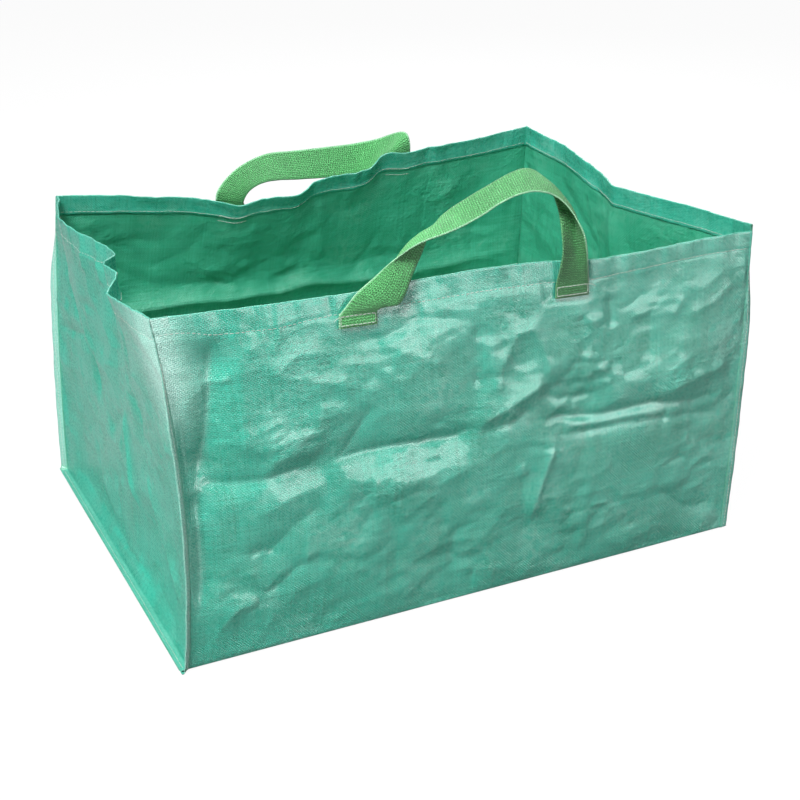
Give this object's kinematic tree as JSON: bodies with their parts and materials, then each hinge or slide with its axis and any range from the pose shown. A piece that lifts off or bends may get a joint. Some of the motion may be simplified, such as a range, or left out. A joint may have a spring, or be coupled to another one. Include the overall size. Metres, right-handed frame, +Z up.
{
  "type": "garden waste bag",
  "caption": "Open rectangular bag of coated woven cloth that stands on its flat base, with a stitched hem, outward corner seams and a webbing carrying handle on each long side.",
  "frame": {"origin": "centre of the base's underside, on the ground", "axes": "+X along the long walls towards the right end, -Y out of the front wall, +Z up out of the mouth"},
  "size_m": [0.7069, 0.555, 0.4706],
  "materials": {
    "wall_cloth": "satin",
    "base_cloth": "satin",
    "hem_cloth": "satin",
    "seam_allowance": "satin",
    "webbing": "matt",
    "thread": "matt"
  },
  "bodies": {
    "bag": {"base_panel": "base_cloth", "front_panel": "wall_cloth", "front_hem": "hem_cloth", "front_hem_needle_thread": "thread", "front_hem_bobbin_thread": "thread", "right_end_panel": "wall_cloth", "right_end_hem": "hem_cloth", "right_end_hem_needle_thread": "thread", "right_end_hem_bobbin_thread": "thread", "back_panel": "wall_cloth", "back_hem": "hem_cloth", "back_hem_needle_thread": "thread", "back_hem_bobbin_thread": "thread", "left_end_panel": "wall_cloth", "left_end_hem": "hem_cloth", "left_end_hem_needle_thread": "thread", "left_end_hem_bobbin_thread": "thread", "front_left_seam": "seam_allowance", "front_left_seam_thread": "thread", "front_right_seam": "seam_allowance", "front_right_seam_thread": "thread", "back_right_seam": "seam_allowance", "back_right_seam_thread": "thread", "back_left_seam": "seam_allowance", "back_left_seam_thread": "thread", "left_end_foot_seam": "seam_allowance", "left_end_foot_seam_thread": "thread", "right_end_foot_seam": "seam_allowance", "right_end_foot_seam_thread": "thread", "front_handle_left_end": "webbing", "front_handle_left_box_stitch": "thread", "front_handle_right_end": "webbing", "front_handle_right_box_stitch": "thread", "back_handle_left_end": "webbing", "back_handle_left_box_stitch": "thread", "back_handle_right_end": "webbing", "back_handle_right_box_stitch": "thread"},
    "front_handle_legs": {"front_handle_left_leg": "webbing", "front_handle_right_leg": "webbing"},
    "front_handle_grip": {"front_handle_loop": "webbing"},
    "back_handle_legs": {"back_handle_left_leg": "webbing", "back_handle_right_leg": "webbing"},
    "back_handle_grip": {"back_handle_loop": "webbing"}
  },
  "joints": [
    {"name": "front_handle_swing", "type": "hinge", "parent": "bag", "child": "front_handle_legs", "pos_m": [-0.0181, -0.24942, 0.35051], "axis": [0.9994, -0.0297, -0.0203], "range_deg": [0, 150]},
    {"name": "front_handle_lean", "type": "hinge", "parent": "front_handle_legs", "child": "front_handle_grip", "pos_m": [-0.01747, -0.24454, 0.37434], "axis": [-0.9994, 0.0297, 0.0203], "range_deg": [0, 80]},
    {"name": "back_handle_swing", "type": "hinge", "parent": "bag", "child": "back_handle_legs", "pos_m": [0.01722, 0.23453, 0.33858], "axis": [-0.9913, -0.0979, -0.0876], "range_deg": [0, 60]},
    {"name": "back_handle_lean", "type": "hinge", "parent": "back_handle_legs", "child": "back_handle_grip", "pos_m": [0.01629, 0.22404, 0.36082], "axis": [0.9913, 0.0979, 0.0876], "range_deg": [0, 90]}
  ]
}
